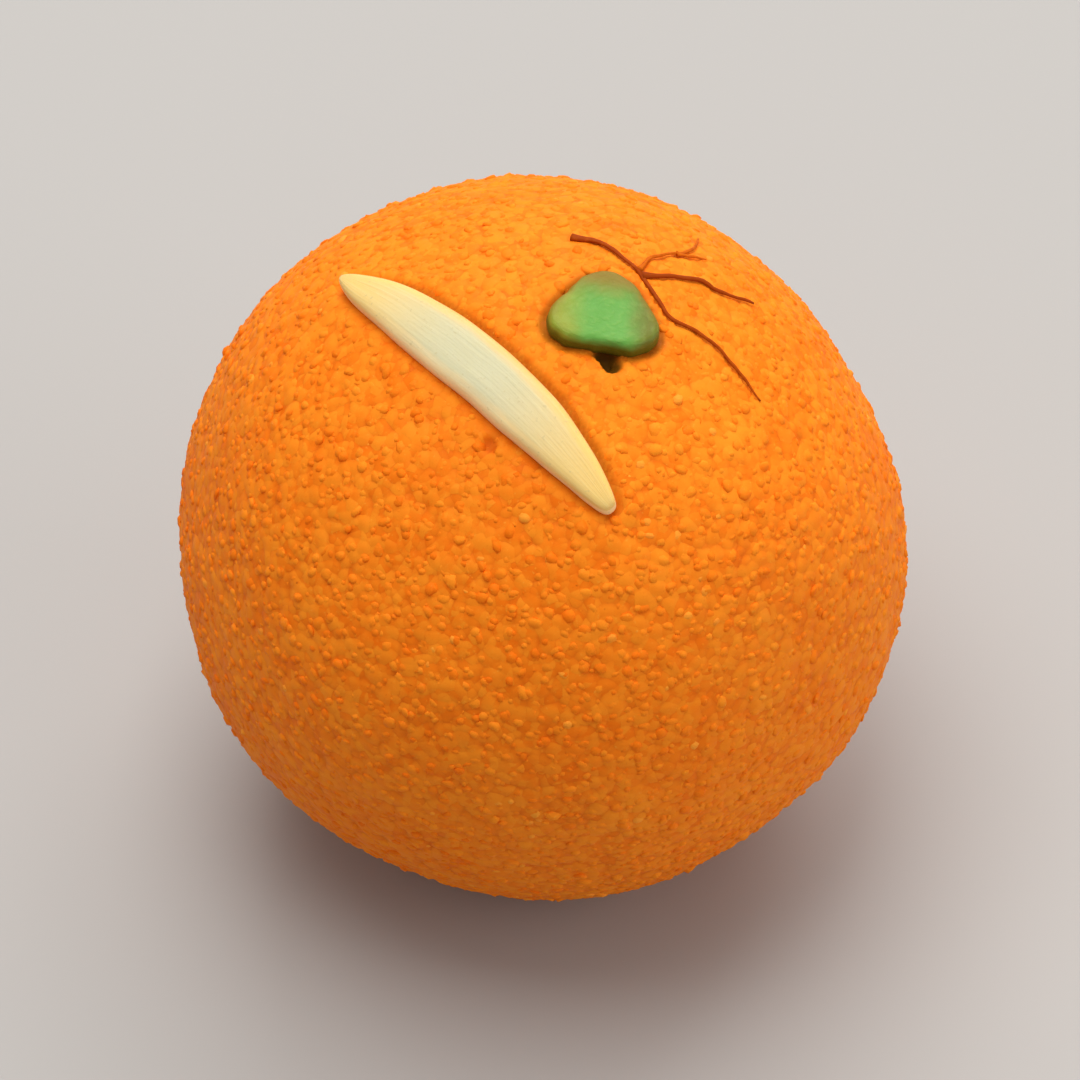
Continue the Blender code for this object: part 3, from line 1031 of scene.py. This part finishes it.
def scatter(grain, size, spacing, sink, scales, seed):
    """Scatters copies of a grain over the ball, sunk by these shares of its size, as one mesh."""
    deselect_all()
    bpy.ops.mesh.primitive_plane_add(size=MM)
    grains = bpy.context.object
    nodes, _ = relief_tree("Scattered grains")
    ground = nodes.add("GeometryNodeObjectInfo", {}, {"Object": piece("boondi_ball")}, "Geometry")
    spread = {"Mesh": ground, "Distance Min": spacing, "Density Max": MOST_GRAINS, "Seed": seed}
    evenly = {"distribute_method": "POISSON"}
    points = nodes.add("GeometryNodeDistributePointsOnFaces", evenly, spread, "Points")
    outward = Field(nodes, points.socket.node.outputs["Normal"])
    turn = Field(nodes, points.socket.node.outputs["Rotation"])

    def apart_from(names, least):
        gap = nodes.add("GeometryNodeProximity", {}, {"Geometry": join_pieces(nodes, names)}, "Distance")
        return nodes.maths("GREATER_THAN", gap, least)

    def draw(kind, low, high, number):
        limits = {"Min": low, "Max": high, "Seed": 10 * seed + number}
        return nodes.add("FunctionNodeRandomValue", {"data_type": kind}, limits, "Value")

    position = nodes.add("GeometryNodeInputPosition")
    kept = apart_from(NUTS, CLEAR_OF_NUTS) * apart_from(("saffron_threads",), CLEAR_OF_THREADS)
    kept = kept * nodes.maths("GREATER_THAN", nodes.parts(position)[2], CLEAR_OF_FOOT)
    for place, radius, _ in PITS:
        from_pit = nodes.vector("DISTANCE", position, surface_point(plan_direction(place)), output="Value")
        kept = kept * nodes.maths("GREATER_THAN", from_pit, (radius + CLEAR_OF_PITS) * MM)

    draws = draw("FLOAT_VECTOR", (0.0, 0.0, 0.0), (1.0, 1.0, 1.0), 1)
    keep = {"Geometry": points, "Name": "draws", "Value": draws}
    points = nodes.add("GeometryNodeStoreNamedAttribute", {"data_type": "FLOAT_VECTOR"}, keep, "Geometry")
    sunk = nodes.scaled(outward, draw("FLOAT", -sink[1] * size, -sink[0] * size, 2))
    tilt = draw("FLOAT_VECTOR", (-GRAIN_TILT, -GRAIN_TILT, -math.pi), (GRAIN_TILT, GRAIN_TILT, math.pi), 3)
    turned = {"Rotation": turn, "Rotate By": tilt}
    turn = nodes.add("FunctionNodeRotateRotation", {"rotation_space": "LOCAL"}, turned)
    points = nodes.add("GeometryNodeSetPosition", {}, {"Geometry": points, "Offset": sunk})
    shape = nodes.add("GeometryNodeObjectInfo", {}, {"Object": grain}, "Geometry")
    copies = {
        "Points": points, "Selection": kept, "Instance": shape, "Rotation": turn,
        "Scale": draw("FLOAT_VECTOR", *scales, 4),
    }
    copies = nodes.add("GeometryNodeInstanceOnPoints", {}, copies)
    copies = nodes.add("GeometryNodeRealizeInstances", {}, {"Geometry": copies})
    wobble = nodes.noise(nodes.scaled(position, 1.0 / MM), GRAIN_WOBBLE_SIZE, 1.0, "Color")
    wobble = nodes.scaled(nodes.vector("SUBTRACT", wobble, (0.5, 0.5, 0.5)), GRAIN_WOBBLE * size)
    copies = nodes.add("GeometryNodeSetPosition", {}, {"Geometry": copies, "Offset": wobble})
    apply_relief(grains, nodes, copies)
    bpy.data.objects.remove(grain)
    return grains


class LADOO_OT_grains(bpy.types.Operator):
    """Stud the ball with grains and crumbs"""

    bl_idname = "ladoo.grains"
    bl_label = "Grains and crumbs"

    def execute(self, context):
        settings = context.scene.ladoo_boondi
        kinds = (
            ("pearl", make_pearl, PEARL_SINK, PEARL_SCALES),
            ("bead", make_pearl, BEAD_SINK, BEAD_SCALES),
            ("crumb", make_crumb, CRUMB_SINK, CRUMB_SCALES),
        )
        material = boondi_material("Loose boondi", settings, True)
        for i, (kind, make, sink, scales) in enumerate(kinds):
            name = "boondi_" + kind + "s"
            size = getattr(settings, kind + "_size")
            spacing = getattr(settings, kind + "_spacing")
            grains = scatter(make(size), size, spacing, sink, scales, settings.seed + i)
            settle(grains, name, material)
            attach(grains, BODY)
            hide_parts("ladoo_ball")
        return {"FINISHED"}


# Stage

FLOOR_SIZE = 3.0
CAMERA_ELEVATION = math.radians(47.0)
CAMERA_DISTANCE = 0.89
SENSOR_WIDTH = 36.0
LIGHT_COLOUR = (1.0, 0.98, 0.95)

# Each light's place and size, in metres
LIGHTS = {
    "overhead": ((-0.09, 0.02, 0.62), 0.40),
    "back": ((0.12, 0.55, 0.57), 0.70),
    "side": ((0.50, -0.15, 0.20), 0.40),
}


class StageSettings(bpy.types.PropertyGroup):
    frame_width: FloatProperty(
        name="Frame width", description="Width of the view at the ball", default=0.066, unit="LENGTH",
    )
    daylight: FloatProperty(
        name="Daylight", description="Strength of the light from all round", default=0.45, min=0.0,
    )
    overhead: FloatProperty(
        name="Overhead light", description="Power of the soft light above", default=2.35, unit="POWER",
    )
    back: FloatProperty(
        name="Back light", description="Power of the wide light behind and above", default=4.3,
        unit="POWER",
    )
    side: FloatProperty(
        name="Side light", description="Power of the weak light to the right", default=0.9, unit="POWER",
    )
    floor: FloatVectorProperty(
        name="Floor", description="Colour of the floor", subtype="COLOR", default=(0.42, 0.41, 0.40),
        min=0.0, max=1.0,
    )


def make_floor(settings):
    deselect_all()
    bpy.ops.mesh.primitive_plane_add(size=FLOOR_SIZE)
    floor = bpy.context.object
    floor.name = "floor"
    material, nodes, shader = new_material("Matt floor")
    spots = nodes.add("ShaderNodeTexCoord", output="Object")
    cloud = nodes.noise(spots, 0.15)
    darker = [0.96 * value for value in settings.floor]
    colour = nodes.mix(cloud, rgba(darker), rgba(settings.floor))
    dress(nodes, shader, colour, 0.65 + cloud * 0.1, cloud * 0.2, 0.1)
    floor.data.materials.append(material)


def add_area_light(name, place, size, power):
    """A square soft light that faces the ball."""
    place = Vector(place)
    turn = (BALL_CENTRE - place).to_track_quat("-Z", "Y").to_euler()
    bpy.ops.object.light_add(type="AREA", location=place, rotation=turn)
    light = bpy.context.object
    light.name = name
    light.data.shape = "SQUARE"
    light.data.size = size
    light.data.energy = power
    light.data.color = LIGHT_COLOUR


def make_daylight(settings):
    world = bpy.data.worlds.new("Daylight")
    bpy.context.scene.world = world
    world.use_nodes = True
    background = world.node_tree.nodes["Background"]
    background.inputs["Color"].default_value = rgba(LIGHT_COLOUR)
    background.inputs["Strength"].default_value = settings.daylight


def make_camera(settings):
    reach = Vector((0.0, -math.cos(CAMERA_ELEVATION), math.sin(CAMERA_ELEVATION))) * CAMERA_DISTANCE
    turn = (0.5 * math.pi - CAMERA_ELEVATION, 0.0, 0.0)
    bpy.ops.object.camera_add(location=BALL_CENTRE + reach, rotation=turn)
    camera = bpy.context.object
    camera.data.sensor_width = SENSOR_WIDTH
    camera.data.lens = SENSOR_WIDTH * CAMERA_DISTANCE / settings.frame_width
    camera.data.clip_start = 0.01
    bpy.context.scene.camera = camera


class LADOO_OT_stage(bpy.types.Operator):
    """Set the floor, the lights and the camera"""

    bl_idname = "ladoo.stage"
    bl_label = "Stage"

    def execute(self, context):
        settings = context.scene.ladoo_stage
        make_floor(settings)
        make_daylight(settings)
        for name, (place, size) in LIGHTS.items():
            add_area_light(name + "_light", place, size, getattr(settings, name))
        make_camera(settings)
        context.scene.view_settings.view_transform = "Standard"
        return {"FINISHED"}


class LADOO_PT_panel(bpy.types.Panel):
    """Lists the ladoo's pieces and their settings"""

    bl_label = "Ladoo"
    bl_idname = "LADOO_PT_panel"
    bl_space_type = "VIEW_3D"
    bl_region_type = "UI"
    bl_category = "Ladoo"

    def draw(self, context):
        for operator, settings_name in PANEL_ROWS:
            box = self.layout.box()
            box.operator(operator.bl_idname)
            if settings_name:
                settings = getattr(context.scene, settings_name)
                for name in settings.__annotations__:
                    box.prop(settings, name)


SETTINGS = {
    "ladoo_almond": AlmondSettings,
    "ladoo_pistachio": PistachioSettings,
    "ladoo_saffron": SaffronSettings,
    "ladoo_boondi": BoondiSettings,
    "ladoo_stage": StageSettings,
}
PANEL_ROWS = (
    (LADOO_OT_almond, "ladoo_almond"),
    (LADOO_OT_pistachio, "ladoo_pistachio"),
    (LADOO_OT_saffron, "ladoo_saffron"),
    (LADOO_OT_ball, "ladoo_boondi"),
    (LADOO_OT_grains, None),
    (LADOO_OT_stage, "ladoo_stage"),
)
CLASSES = (*SETTINGS.values(), *(operator for operator, _ in PANEL_ROWS), LADOO_PT_panel)


def register():
    for one in CLASSES:
        bpy.utils.register_class(one)
    for name, settings in SETTINGS.items():
        setattr(bpy.types.Scene, name, PointerProperty(type=settings))


def unregister():
    for name in SETTINGS:
        delattr(bpy.types.Scene, name)
    for one in reversed(CLASSES):
        bpy.utils.unregister_class(one)


def main():
    register()
    bpy.ops.ladoo.almond()
    bpy.ops.ladoo.pistachio()
    bpy.ops.ladoo.saffron()
    bpy.ops.ladoo.ball()
    bpy.ops.ladoo.grains()
    bpy.ops.ladoo.stage()


if __name__ == "__main__":
    main()
